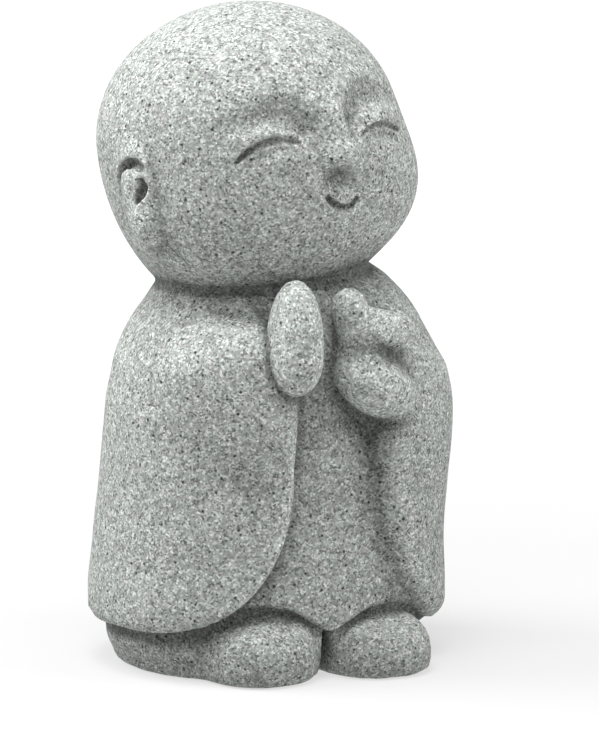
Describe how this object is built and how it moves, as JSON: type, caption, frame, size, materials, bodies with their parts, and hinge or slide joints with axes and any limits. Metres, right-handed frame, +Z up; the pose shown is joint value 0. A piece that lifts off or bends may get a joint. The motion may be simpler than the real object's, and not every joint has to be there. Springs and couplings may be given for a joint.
{
  "type": "stone monk statue",
  "caption": "Small cast stone figure of a round-headed smiling monk in a wide-sleeved robe, hands raised before the chest, standing on its flat underside.",
  "frame": {"origin": "on the ground, under the middle of the figure's overall width and depth", "axes": "+Z up; the figure faces -Y; its own right hand is at -X"},
  "size_m": [0.086, 0.0766, 0.15],
  "materials": {
    "stone": "matt, finely pitted pale grey-green stone with light and dark grains"
  },
  "bodies": {
    "root": {"monk_statue": "stone"}
  },
  "joints": []
}
